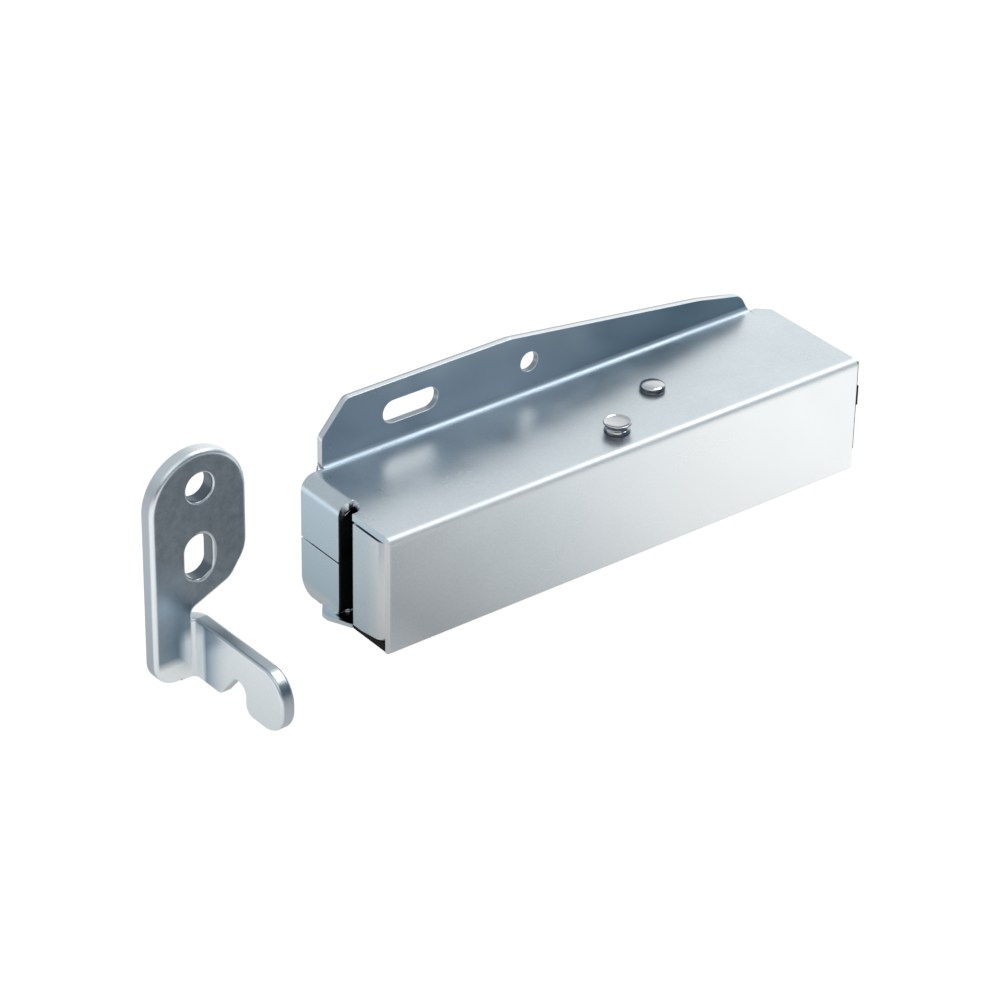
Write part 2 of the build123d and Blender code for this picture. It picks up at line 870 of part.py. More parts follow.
# Index pawl
pawl_post = (
    rear_rivet_x + pawl_post_x,
    rear_rivet_y - pawl_coil_radius + wire_radius + pawl_post_radius + leg_gap,
)
with BuildPart() as index_pawl:
    with BuildSketch(Plane.XY.offset(pawl_low)):
        capsule((rear_rivet_x, rear_rivet_y), (follower_x, follower_y), pawl_arm)
        with Locations((rear_rivet_x, rear_rivet_y)):
            Circle(pawl_hub)
        with Locations((follower_x, follower_y)):
            Circle(pawl_tip)
        with Locations((follower_x, follower_y)):
            Circle(follower_radius, mode=Mode.SUBTRACT)
        capsule((rear_rivet_x, rear_rivet_y), pawl_post, pawl_post_pad)
        with Locations((rear_rivet_x, rear_rivet_y)):
            Circle(rivet_shaft + roller_fit, mode=Mode.SUBTRACT)
    extrude(amount=pawl_thick)
    # Post that the pawl spring's leg bears on
    with BuildSketch(Plane.XY.offset(pawl_post_low)):
        with Locations(pawl_post):
            Circle(pawl_post_radius)
    extrude(amount=pawl_high - pawl_post_low)
index_pawl.part.label = "index_pawl"

# Follower pin
with BuildPart() as follower_pin:
    with Locations(Location((follower_x, follower_y, slider_high - track_depth + follower_tip_gap))):
        Cylinder(
            follower_radius,
            pawl_high - slider_high + track_depth - follower_tip_gap,
            align=(Align.CENTER, Align.CENTER, Align.MIN),
        )
follower_pin.part.label = "follower_pin"

# Pawl spring
with BuildPart() as pawl_spring:
    torsion_spring(
        (rear_rivet_x, rear_rivet_y),
        pawl_coil_radius,
        pawl_coil_low,
        pawl_coil_start,
        pawl_coil_turns,
        pawl_coil_pitch,
        pawl_leg,
        rear_rivet_y - inner_wall - leg_gap,
    )
pawl_spring.part.label = "pawl_spring"

# Main spring
spring_length = block_start - body_back - 2 * spring_wire
with BuildPart() as main_spring:
    coil = Helix(pitch=spring_length / spring_turns, height=spring_length, radius=spring_radius)
    coil = Plane(
        origin=(body_back + spring_wire, spring_y, spring_z), x_dir=(0, 1, 0), z_dir=(1, 0, 0)
    ) * coil
    with BuildSketch(Plane(origin=coil @ 0, z_dir=coil % 0)):
        Circle(spring_wire)
    sweep(path=coil, is_frenet=True)
main_spring.part.label = "main_spring"

# Spring rod
with BuildPart() as spring_rod:
    with BuildSketch(Plane.YZ.offset(rod_tip)):
        with Locations((spring_y, spring_z)):
            Circle(rod_radius)
    extrude(amount=case_length - block_recess - rod_tip)
    with BuildSketch(Plane.YZ.offset(case_length - block_recess)):
        with Locations((spring_y, spring_z)):
            Circle(rod_head)
    extrude(amount=rod_head_thick)
    chamfer(spring_rod.edges().group_by(Axis.X)[0], length=0.4)
spring_rod.part.label = "spring_rod"

# End block
with BuildPart() as end_block:
    with BuildSketch(Plane.YZ.offset(block_start)):
        with Locations((inner_wall + block_gap, sheet + block_gap)):
            Rectangle(
                block_rear_y - inner_wall - block_gap,
                plate_under - sheet - 2 * block_gap,
                align=(Align.MIN, Align.MIN),
            )
    extrude(amount=case_length - block_start)
    # Proud end with its bump, close behind the front plate
    with BuildSketch(Plane.YZ.offset(inner_end + block_gap)):
        with Locations((inner_face + block_gap, block_low)):
            Rectangle(
                block_rear_y - inner_face - block_gap,
                plate_under - block_low - block_gap,
                align=(Align.MIN, Align.MIN),
            )
    extrude(amount=case_length + block_proud - inner_end - block_gap)
    with BuildSketch(Plane.YZ.offset(case_length)):
        with Locations((inner_face + block_gap, block_bump_low)):
            Rectangle(
                block_rear_y - inner_face - block_gap,
                block_bump_high - block_bump_low,
                align=(Align.MIN, Align.MIN),
            )
    extrude(amount=block_proud + block_bump)
    # Rod hole and its head's pocket
    with BuildSketch(Plane.YZ.offset(block_start)):
        with Locations((spring_y, spring_z)):
            Circle(rod_radius)
    extrude(amount=case_length - block_start, mode=Mode.SUBTRACT)
    with BuildSketch(Plane.YZ.offset(case_length - block_recess)):
        with Locations((spring_y, spring_z)):
            Circle(rod_head + 0.3)
    extrude(amount=block_recess + block_proud + block_bump, mode=Mode.SUBTRACT)
end_block.part.label = "end_block"

# Arm guide
with BuildPart() as arm_guide:
    # Wall behind the strike's arm
    with BuildSketch(Plane.XY.offset(sheet + guide_gap)):
        with Locations((guide_start, block_rear_y)):
            Rectangle(
                guide_end - guide_start,
                block_rear_y - guide_front_y,
                align=(Align.MIN, Align.MAX),
            )
    extrude(amount=plate_under - sheet - 2 * guide_gap)
    with BuildSketch(Plane.XY.offset(guide_nose_low)):
        with Locations((guide_nose, block_rear_y)):
            Rectangle(
                guide_start - guide_nose,
                block_rear_y - guide_front_y,
                align=(Align.MIN, Align.MAX),
            )
    extrude(amount=guide_nose_high - guide_nose_low)
    # Floor over the bottom plate
    with BuildSketch(Plane.XY.offset(sheet + guide_gap)):
        with Locations((guide_start, guide_front_y)):
            Rectangle(
                guide_end - guide_start,
                guide_front_y - inner_wall - guide_gap,
                align=(Align.MIN, Align.MAX),
            )
    extrude(amount=guide_floor)
    # Sill behind the lower edge of the inner plate's flap
    with BuildSketch(Plane.XY.offset(sill_lip_top)):
        with Locations((guide_nose, sill_rear_y)):
            Rectangle(
                guide_start - guide_gap - guide_nose,
                sill_rear_y - sill_front_y,
                align=(Align.MIN, Align.MAX),
            )
    extrude(amount=sill_top - sill_lip_top)
    with BuildSketch(Plane.XY.offset(guide_gap)):
        with Locations((guide_nose, sill_rear_y)):
            Rectangle(
                guide_start - guide_gap - guide_nose,
                sill_rear_y - inner_face - guide_gap,
                align=(Align.MIN, Align.MAX),
            )
    extrude(amount=sill_lip_top - guide_gap)
    with BuildSketch(Plane.XY.offset(sheet + guide_gap)):
        with Locations((guide_nose, sill_rear_y)):
            Rectangle(
                guide_start - guide_nose + guide_gap,
                sill_rear_y - sill_front_y,
                align=(Align.MIN, Align.MAX),
            )
    extrude(amount=guide_floor)
    # Toe that fills the gap under the inner plate's flap
    with BuildSketch(Plane.YZ.offset(toe_start)):
        with BuildLine():
            Polyline(
                (sill_rear_y, guide_gap),
                (inner_face + guide_gap, guide_gap),
                (inner_face + guide_gap, inner_bottom - guide_gap),
                (inner_flap_rise_y, inner_flap_bottom - guide_gap),
                (sill_rear_y, inner_flap_bottom - guide_gap),
                close=True,
            )
        make_face()
    extrude(amount=guide_nose - toe_start)
    # Lip along the rear side of the slot
    with BuildSketch(Plane.XY.offset(lip_low)):
        with Locations((lip_start, slot_rear - guide_gap)):
            Rectangle(guide_start - lip_start, lip_thick, align=(Align.MIN, Align.MAX))
        with Locations((sheet + guide_gap, guide_front_y)):
            Rectangle(
                guide_start + guide_floor - sheet - guide_gap,
                guide_front_y - slot_rear + guide_gap + lip_thick,
                align=(Align.MIN, Align.MAX),
            )
    extrude(amount=lip_high - lip_low)
arm_guide.part.label = "arm_guide"

# Strike
turn = radians(strike_turn)
across = Vector(cos(turn), sin(turn), 0)
toward = Vector(sin(turn), -cos(turn), 0)
foot = Vector(strike_x, strike_y, 0)
strike_face = Plane(origin=foot, x_dir=across, z_dir=toward)
strike_top = Plane(origin=foot, x_dir=across, z_dir=(0, 0, 1))
strike_side = Plane(origin=foot, x_dir=toward, z_dir=-across)
half = strike_width / 2
arm_back = arm_face + strike_sheet
with BuildPart() as strike_arm:
    # Bend between the plate and the arm
    with BuildSketch(strike_top):
        with BuildLine():
            Polyline(
                (arm_face - strike_sheet, 0),
                (arm_back, 0),
                (arm_back, -arm_clear),
                (arm_face, -arm_clear),
                (arm_face, -strike_sheet),
                (arm_face - strike_sheet, -strike_sheet),
                close=True,
            )
        make_face()
        fillet(at_points(vertices(), (arm_back, 0)), radius=arm_bend_inside + strike_sheet)
        fillet(at_points(vertices(), (arm_face, -strike_sheet)), radius=arm_bend_inside)
    extrude(amount=arm_height)
    # Arm with its hook notch
    with BuildSketch(strike_side.offset(-arm_back)):
        with BuildLine():
            Polyline(
                (arm_clear, 0),
                (arm_notch_start, 0),
                (arm_notch_slope_end, arm_notch_depth),
                (arm_notch_end, arm_notch_depth),
                (arm_notch_end, 0),
                (arm_length, 0),
                (arm_length, arm_height),
                (arm_clear, arm_height),
                close=True,
            )
        make_face()
        fillet(
            at_points(vertices(), (arm_notch_slope_end, arm_notch_depth)),
            radius=arm_notch_lead_round,
        )
        fillet(
            at_points(vertices(), (arm_notch_end, arm_notch_depth)), radius=arm_notch_back_round
        )
        fillet(at_points(vertices(), (arm_notch_start, 0)), radius=arm_bump_round)
        fillet(at_points(vertices(), (arm_notch_end, 0)), radius=arm_tip_round)
        fillet(at_points(vertices(), (arm_length, 0), (arm_length, arm_height)), radius=arm_nose)
    extrude(amount=strike_sheet)
    # Rounded edges of the arm, all but those inside the plate
    fillet(
        [
            e
            for e in strike_arm.edges()
            if strike_top.to_local_coords(e @ 0.5).X > arm_face - strike_sheet + 0.1
            and not (
                abs(strike_top.to_local_coords(e @ 0).X - strike_top.to_local_coords(e @ 1).X)
                > strike_sheet - 0.1
                and abs(strike_top.to_local_coords(e @ 0).Y - strike_top.to_local_coords(e @ 1).Y)
                < 0.01
            )
            and abs((e @ 0).Z - (e @ 1).Z) < arm_height - 0.1
        ],
        radius=arm_edge,
    )
with BuildPart() as strike:
    with BuildSketch(strike_face):
        with BuildLine():
            Polyline(
                (-half, 0),
                (-half, strike_height - half),
                (half, strike_height - half),
                (half, strike_shoulder),
                (strike_slope_end, strike_slope_height),
                (arm_face, strike_step),
                (arm_face, 0),
                close=True,
            )
        make_face()
        fillet(at_points(vertices(), (-half, 0)), radius=strike_foot_round)
        fillet(at_points(vertices(), (half, strike_shoulder)), radius=strike_shoulder_round)
        fillet(
            at_points(vertices(), (strike_slope_end, strike_slope_height)),
            radius=strike_slope_round,
        )
        fillet(at_points(vertices(), (arm_face, strike_step)), radius=arm_relief)
        with Locations((0, strike_height - half)):
            Circle(half)
        with Locations((strike_hole_across, strike_hole_height)):
            Circle(strike_hole_radius, mode=Mode.SUBTRACT)
        with Locations((-strike_hole_across, strike_slot_height)):
            SlotOverall(strike_slot_length, strike_slot_width, rotation=90, mode=Mode.SUBTRACT)
    extrude(amount=strike_sheet)
    # Rolled front edges of the plate and of its holes
    fillet(front_of(strike, strike_face, strike_sheet).outer_wire().edges(), radius=strike_edge)
    for hole in front_of(strike, strike_face, strike_sheet).inner_wires():
        fillet(hole.edges(), radius=strike_hole_edge)
    add(strike_arm.part)
strike.part.label = "strike"

# Finished pieces, moved to the origin in the flange's round hole
datum = Location((-flange_hole_x, 0, -flange_hole_height))
for built in (
    housing,
    inner_plate,
    front_rivet,
    rear_rivet,
    cam_roller,
    pawl_sleeve,
    pawl_washer,
    slider,
    slider_pad,
    claw,
    claw_pin,
    claw_ring,
    claw_spring,
    index_pawl,
    follower_pin,
    pawl_spring,
    main_spring,
    spring_rod,
    end_block,
    arm_guide,
    strike,
):
    export_step(built.part.moved(datum), f"parts/{built.part.label}.step")
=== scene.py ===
"""Touch latch: looks of the sheet-steel case, its rivets and its hooked strike."""
import json
from math import cos, pi, radians, sin

import bmesh
import bpy
from mathutils import Matrix, Vector
from mathutils.bvhtree import BVHTree


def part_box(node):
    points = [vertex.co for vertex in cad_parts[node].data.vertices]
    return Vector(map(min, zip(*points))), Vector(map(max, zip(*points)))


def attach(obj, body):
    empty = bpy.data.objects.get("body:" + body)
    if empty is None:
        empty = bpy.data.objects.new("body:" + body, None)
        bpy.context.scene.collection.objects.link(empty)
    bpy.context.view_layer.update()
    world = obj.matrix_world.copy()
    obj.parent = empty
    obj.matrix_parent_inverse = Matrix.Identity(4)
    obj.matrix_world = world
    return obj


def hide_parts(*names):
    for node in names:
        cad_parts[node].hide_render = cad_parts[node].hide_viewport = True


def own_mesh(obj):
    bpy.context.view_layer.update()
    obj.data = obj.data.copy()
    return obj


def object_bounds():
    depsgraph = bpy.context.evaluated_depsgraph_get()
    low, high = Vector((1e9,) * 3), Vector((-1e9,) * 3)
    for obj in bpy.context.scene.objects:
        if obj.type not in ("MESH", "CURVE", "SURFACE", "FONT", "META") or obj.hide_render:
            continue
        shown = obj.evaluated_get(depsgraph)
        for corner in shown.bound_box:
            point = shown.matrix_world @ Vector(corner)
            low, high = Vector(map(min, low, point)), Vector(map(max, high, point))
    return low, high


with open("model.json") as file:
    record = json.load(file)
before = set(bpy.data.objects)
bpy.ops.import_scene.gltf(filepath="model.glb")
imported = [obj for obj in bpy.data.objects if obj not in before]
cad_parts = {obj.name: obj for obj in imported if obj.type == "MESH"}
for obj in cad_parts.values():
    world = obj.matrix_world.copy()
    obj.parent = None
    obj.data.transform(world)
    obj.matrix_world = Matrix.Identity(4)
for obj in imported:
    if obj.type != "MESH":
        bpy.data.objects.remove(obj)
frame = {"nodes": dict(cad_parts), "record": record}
cad_low, cad_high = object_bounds()
nodes = frame["nodes"]
scene = bpy.context.scene

MM = 0.001
TABLE_Z = cad_low.z

UP = (0, 0, 1)
FRONT = (0, -1, 0)
REAR = (0, 1, 0)
LEFT = (-1, 0, 0)
RIGHT = (1, 0, 0)


def millimetres(*values):
    """Lengths given in millimetres, in metres."""
    return tuple(value * MM for value in values)


# Camera, as the photograph was taken
CAMERA_AZIMUTH = radians(37.919)
CAMERA_ELEVATION = radians(31.284)
CAMERA_ROLL = radians(0.934)
CAMERA_DISTANCE = 618.765 * MM
CAMERA_LENS = 146.07
CAMERA_AIM = Vector((2.2, -11.0, -14.9)) * MM
AIM_RIGHT = 13.406 * MM
AIM_UP = 4.830 * MM

# Lamp over the right-hand end
SOFTBOX_PLACE = (0.40, -0.09, 0.62)
SOFTBOX_TARGET = (0.02, -0.15, 0)
SOFTBOX_SIZE = (0.56, 0.30)
SOFTBOX_WATTS = 1.9

# Surroundings: their level, then cones of direction, cosine at the rim, cosine at full, tone
AROUND = (0.445, 0.487, 0.52)
CONES = (
    # Bright at the back right, as the top plate shows it
    ((0.8, 0.5, 0.33), 0.80, 1.0, (0.91, 0.91, 0.91)),
    # White at the front right, at the height of the table
    ((0.525, -0.80, 0.0), 0.78, 0.95, (0.95, 0.98, 1.0)),
    # Dim above it, as the top plate shows it to the flange
    ((0.525, -0.674, 0.519), 0.50, 0.92, (0.070, 0.112, 0.155)),
    # Nearly black behind the camera
    ((-0.6, -0.65, 0.45), 0.80, 0.95, (0.03, 0.04, 0.05)),
    # White overhead
    ((-0.35, -0.45, 0.82), 0.80, 0.97, (0.95, 1.0, 1.0)),
)

# Floor, and the painted levels of light that polished metal sees on it: at the origin, and their
# change per metre of X
FLOOR_SIZE = 6.0
FLOOR_GREY = (0.82, 0.83, 0.84, 1)
FLOOR_SHARE = 0.9
FLOOR_WHITE = 1.08
FLOOR_FRONT = (0.69, 9.8)
FLOOR_RIGHT = (0.76, 4.8)
FLOOR_LEFT = (0.02, -10.0)
FLOOR_BRIGHTEST = 1.0
FLOOR_FADE = (0.10, 0.24)

# Noises: size per metre, detail, roughness
CLOUDS = (150.0, 5.0, 0.6)
DRIFT = (38.0, 2.0, 0.5)
GRAIN = (5200.0, 4.0, 0.7)
PITS = (2600.0, 3.0, 0.7)
HAIRS = (900.0, 1.0, 0.4)
HAIR_PLACES = (75.0, 2.0, 0.55)
STRIKE_MOTTLE = (620.0, 6.0, 0.7)
STRIKE_DRIFT = (90.0, 2.0, 0.55)
MOULD_MOTTLE = (300.0, 4.0, 0.55)
MOULD_DETAIL = (3.0, 0.55)

# Plating: ranges that a noise is spread over, weights in the tone, hair scratches
CLOUD_RANGE = (0.2, 0.8)
PIT_RANGE = (0.25, 0.75)
MIDDLE = 0.5
TONE_OF_CLOUDS = 0.5
TONE_OF_DRIFT = 0.35
TONE_OF_GRAIN = 0.3
TONE_OF_PITS = 0.7
TONE_OF_HAIRS = 0.5
ROLLED = (0.05, 1, 1)
HAIR_RUN = (0.12, 1.0, 0.9)
HAIR_WIDTH = 0.006
HAIR_SPARSE = (0.56, 0.66)
HAIR_ROUGHNESS = 0.1
PLATING_DEPTH = 0.01 * MM

# Moulded pieces
MOULD_RANGE = (0.3, 0.7)
MOULD_DARKEST = 0.55
MOULD_SPREAD = 0.08
MOULD_SPECULAR = 0.2
MOULD_BUMP = 0.4
MOULD_DEPTH = 0.02 * MM

# Directions in which a surface faces: the direction, cosine at none, cosine at full
LYING = (UP, 0.5, 0.9)
TO_FRONT = (FRONT, 0.8, 0.95)
TO_LEFT = (LEFT, 0.8, 0.98)
FLANGE_WALLS = (REAR, -0.5, -0.1)
RIVET_TOP = (UP, 0.35, 0.8)

# Lines along which the case gets painted highlights: axes that count, a place, distance at full
# and at none
FRONT_FOLD_Y = -23.8
FLANGE_FOLD_Y = -1.2
FRONT_FOLD = ((0, 1, 1), Vector((0, FRONT_FOLD_Y, -5.1)) * MM, *millimetres(0.9, 1.5))
FLANGE_FOLD = ((0, 1, 1), Vector((0, FLANGE_FOLD_Y, -5.1)) * MM, *millimetres(0.35, 0.9))
END_EDGE = ((1, 1, 0), Vector((-42.8, -23.2, 0)) * MM, *millimetres(0.55, 0.75))

# Holes, with painted shade on their walls and painted highlights on the strike's hole rims: axes
# that count (a slot counts less along its length), middle, radius with its wall
WALL_FADE = 0.1 * MM
FLANGE_HOLES = (
    ((0.3725, 0, 1), Vector((-22.4, 0, 0)) * MM, 2.5 * MM),
    ((1, 0, 1), Vector((0, 0, 0)) * MM, 2.0 * MM),
)
STRIKE_HOLE = ((1, 0, 1), Vector((-66.86, 0, 6.3)) * MM)
STRIKE_SLOT = ((1, 0, 0.66), Vector((-66.86, 0, -5.1)) * MM)
STRIKE_HOLE_WALLS = ((*STRIKE_HOLE, 2.38 * MM), (*STRIKE_SLOT, 2.60 * MM))
STRIKE_HOLE_RIMS = ((*STRIKE_HOLE, 2.46 * MM), (*STRIKE_SLOT, 2.70 * MM))

# Case: places between which painted light and shade set in
FLANGE_HEIGHT = millimetres(-5.0, -4.2)
FLANGE_CUT_HEIGHT = millimetres(-2.0, -1.0)
FLANGE_SHADE_X = millimetres(-5.0, 28.0)
FLANGE_BACK_Y = millimetres(-0.55, -0.15)
FRONT_DEPTH_Y = millimetres(FLANGE_FOLD_Y, FRONT_FOLD_Y)
FRONT_PAINTED_LIGHT_X = millimetres(-15.0, 25.0)
FLAPS_X = millimetres(-42.0, -42.6)
FLAPS_HEIGHT = millimetres(-23.5, -22.5)
INSIDE_HEIGHT = millimetres(-21.8, -22.3)
INSIDE_X = millimetres(-43.4, -43.1)
INSIDE_Y = millimetres(-10.6, -11.0)
COLUMN_Y = millimetres(-18.0, -21.8)

# Case: tones of painted light and shade, and the extra roughness under the painted highlights
FLANGE_NEAR_REFLECTION_TONE = (0.53, 0.62, 0.71)
FLANGE_FAR_REFLECTION_TONE = (0.24, 0.33, 0.40)
FLANGE_FOLD_HIGHLIGHT_TONE = (0.66, 0.76, 0.84)
FLANGE_BACK_SHADE_TONE = (0.42, 0.45, 0.47)
FLANGE_WALL_SHADE_TONE = (0.40, 0.45, 0.49)
FRONT_PAINTED_LIGHT_TONE = (0.98, 1.0, 1.0)
FLAPS_REFLECTION_TONE = (0.68, 0.84, 0.95)
EDGE_HIGHLIGHT_TONE = (0.96, 0.99, 1.0)
INSIDE_SHADOW_TONE = (0.02, 0.02, 0.02)
COLUMN_HIGHLIGHT_TONE = (0.97, 0.99, 1.0)
EDGE_HIGHLIGHT_SOFTNESS = 0.2
FRONT_FOLD_SOFTNESS = 0.1

# Strike: directions in which its plate and arm face
PLATE_FACING = Vector((0.0262, -0.9997, 0))
PLATE_FACE = (PLATE_FACING, 0.93, 0.995)
PLATE_EDGES = (-PLATE_FACING, -0.5, -0.15)
PLATE_NOT_FACE = (PLATE_FACING, 0.8, 0.3)
PLATE_TOP = (UP, 0.3, 0.7)
ARM_EDGES = (RIGHT, -0.6, -0.15)
ARM_FACE = (LEFT, 0.8, 0.99)

# Strike: places between which painted light and shade set in
PLATE_Y = millimetres(-11.8, -11.5)
PLATE_LIGHT_PATCH = ((1, 0, 0.8), Vector((-73.5, 0, -11.0)) * MM, 0.0, 5.8 * MM)
PLATE_LOW_HEIGHT = millimetres(-13.5, -18.5)
PLATE_FOOT_HEIGHT = millimetres(-20.4, -21.9)
PLATE_BEND_X = millimetres(-71.3, -70.0)
PLATE_BEND_HEIGHT = millimetres(-16.2, -18.6)
ARM_SHADE_RISE_Y = millimetres(-13.3, -14.2)
ARM_SHADE_FALL_Y = millimetres(-20.0, -14.2)

# Strike and rivets: ranges of noises, and tones of painted light and shade
STRIKE_MOTTLE_RANGE = (0.33, 0.67)
STRIKE_DRIFT_RANGE = (0.3, 0.7, 0.55, 1.0)
PLATE_DARK_REFLECTION_TONE = (0.22, 0.27, 0.31)
PLATE_LIGHT_REFLECTION_TONE = (0.33, 0.375, 0.42)
PLATE_LOW_REFLECTION_TONE = (0.27, 0.35, 0.41)
PLATE_LIGHT_PATCH_TONE = (0.49, 0.59, 0.68)
PLATE_FOOT_HIGHLIGHT_TONE = (0.97, 1.0, 1.0)
PLATE_EDGE_SHADE_TONE = (0.45, 0.50, 0.56)
PLATE_TOP_HIGHLIGHT_TONE = (0.95, 0.99, 1.0)
HOLE_RIM_HIGHLIGHT_TONE = (0.80, 0.87, 0.92)
HOLE_WALL_SHADE_TONE = (0.18, 0.21, 0.24)
ARM_EDGE_SHADE_TONE = (0.56, 0.62, 0.66)
ARM_SHADE_TONE = (0.30, 0.42, 0.54)
RIVET_SIDE_SHADE_TONE = (0.16, 0.17, 0.19)

# Sheet edges
EDGE_BREAK = 0.12 * MM
EDGE_ANGLE = radians(35)
FLAT_ANGLE = radians(0.5)
WELD = 0.001 * MM

# Rivets; the heads are radius and height over the case's top, in millimetres
CASE_HEIGHT = 19.8 * MM
RIVET_FOOT = 2.2 * MM
RIVET_SHAFT = 1.3 * MM
TURN_STEPS = 72
TURNED_SHARP = radians(50)
FRONT_HEAD = (
    (1.95, 0.0),
    (2.05, 0.08),
    (2.05, 0.2),
    (1.97, 0.42),
    (1.80, 0.6),
    (1.58, 0.74),
    (1.50, 0.92),
    (1.56, 1.08),
    (1.80, 1.24),
    (2.10, 1.38),
    (2.19, 1.48),
    (2.20, 1.56),
    (2.16, 1.66),
    (2.08, 1.70),
    (1.98, 1.68),
    (1.86, 1.62),
    (1.30, 1.54),
    (0.65, 1.49),
    (0.0, 1.47),
)
REAR_HEAD = (
    (1.92, 0.0),
    (1.98, 0.06),
    (2.0, 0.16),
    (2.0, 0.55),
    (1.97, 0.72),
    (1.88, 0.86),
    (1.72, 0.95),
    (1.45, 1.02),
    (1.0, 1.09),
    (0.5, 1.13),
    (0.0, 1.14),
)


# Shader helpers
COLOR = "NodeSocketColor"
VALUE = "NodeSocketFloat"


def group_with(name, inputs, outputs):
    """A shader group with named inputs and outputs of given kinds, and its two end nodes."""
    group = bpy.data.node_groups.new(name, "ShaderNodeTree")
    for side, sockets in (("INPUT", inputs), ("OUTPUT", outputs)):
        for socket, kind in sockets.items():
            group.interface.new_socket(socket, in_out=side, socket_type=kind)
    return group, group.nodes.new("NodeGroupInput"), group.nodes.new("NodeGroupOutput")


def add_node(tree, kind, **settings):
    """A node of a shader tree, with its settings."""
    node = tree.nodes.new(kind)
    for key, value in settings.items():
        setattr(node, key, value)
    return node


def link(tree, source, target):
    tree.links.new(source, target)


def object_space(tree, scale):
    """Object coordinates, stretched by a scale along each axis."""
    coordinates = add_node(tree, "ShaderNodeTexCoord")
    mapping = add_node(tree, "ShaderNodeMapping")
    mapping.inputs["Scale"].default_value = scale
    link(tree, coordinates.outputs["Object"], mapping.inputs["Vector"])
    return mapping.outputs["Vector"]


def noise(tree, vector, size, detail, rough):
    node = add_node(tree, "ShaderNodeTexNoise")
    node.inputs["Scale"].default_value = size
    node.inputs["Detail"].default_value = detail
    node.inputs["Roughness"].default_value = rough
    link(tree, vector, node.inputs["Vector"])
    return node.outputs["Fac"]


def spread(tree, value, low, high, to_low=0.0, to_high=1.0):
    """A value from low..high mapped to to_low..to_high and held there."""
    node = add_node(tree, "ShaderNodeMapRange")
    node.inputs["From Min"].default_value = low
    node.inputs["From Max"].default_value = high
    node.inputs["To Min"].default_value = to_low
    node.inputs["To Max"].default_value = to_high
    link(tree, value, node.inputs["Value"])
    return node.outputs["Result"]


def combine(tree, operation, first, *others):
    """Values, or values and numbers, put together one after another by a math operation."""
    for other in others:
        node = add_node(tree, "ShaderNodeMath", operation=operation)
        for socket, item in zip(node.inputs, (first, other)):
            if isinstance(item, (int, float)):
                socket.default_value = item
            else:
                link(tree, item, socket)
        first = node.outputs["Value"]
    return first


def all_of(tree, *masks):
    return combine(tree, "MULTIPLY", *masks)


def any_of(tree, *masks):
    return combine(tree, "MAXIMUM", *masks)


def weighted(tree, *parts):
    """Sum of values, each given with its weight."""
    return combine(tree, "ADD", *(combine(tree, "MULTIPLY", *part) for part in parts))


def mixed(tree, factor, first, second):
    """Colour between two by a factor; sockets 6 and 7 are the colours, output 2 is the result."""
    node = add_node(tree, "ShaderNodeMix", data_type="RGBA")
    link(tree, factor, node.inputs["Factor"])
    for socket, item in ((node.inputs[6], first), (node.inputs[7], second)):
        if isinstance(item, tuple):
            socket.default_value = (*item, 1.0)
        else:
            link(tree, item, socket)
    return node.outputs[2]


def near_line(tree, axes, place, full, none):
    """1 close to a line through a place, 0 away from it; axes has 0 for the line's own axis."""
    coordinates = add_node(tree, "ShaderNodeTexCoord")
    offset = add_node(tree, "ShaderNodeVectorMath", operation="SUBTRACT")
    offset.inputs[1].default_value = place
    link(tree, coordinates.outputs["Object"], offset.inputs[0])
    across = add_node(tree, "ShaderNodeVectorMath", operation="MULTIPLY")
    across.inputs[1].default_value = axes
    link(tree, offset.outputs["Vector"], across.inputs[0])
    away = add_node(tree, "ShaderNodeVectorMath", operation="LENGTH")
    link(tree, across.outputs["Vector"], away.inputs[0])
    return spread(tree, away.outputs["Value"], full, none, 1.0, 0.0)


def near_holes(tree, holes):
    """1 within a hole's reach, 0 beyond it."""
    return any_of(
        tree,
        *(near_line(tree, axes, place, reach, reach + WALL_FADE) for axes, place, reach in holes),
    )


def facing(tree, direction, start, end):
    """1 where the surface faces a direction, 0 where it faces elsewhere."""
    coordinates = add_node(tree, "ShaderNodeTexCoord")
    turned = add_node(tree, "ShaderNodeVectorMath", operation="DOT_PRODUCT")
    turned.inputs[1].default_value = direction
    link(tree, coordinates.outputs["Normal"], turned.inputs[0])
    return spread(tree, turned.outputs["Value"], start, end)


def along_axis(tree, axis, places):
    """0 at the first of two places along an axis, 1 at the second."""
    coordinates = add_node(tree, "ShaderNodeTexCoord")
    parts = add_node(tree, "ShaderNodeSeparateXYZ")
    link(tree, coordinates.outputs["Object"], parts.inputs["Vector"])
    return spread(tree, parts.outputs[axis], *places)
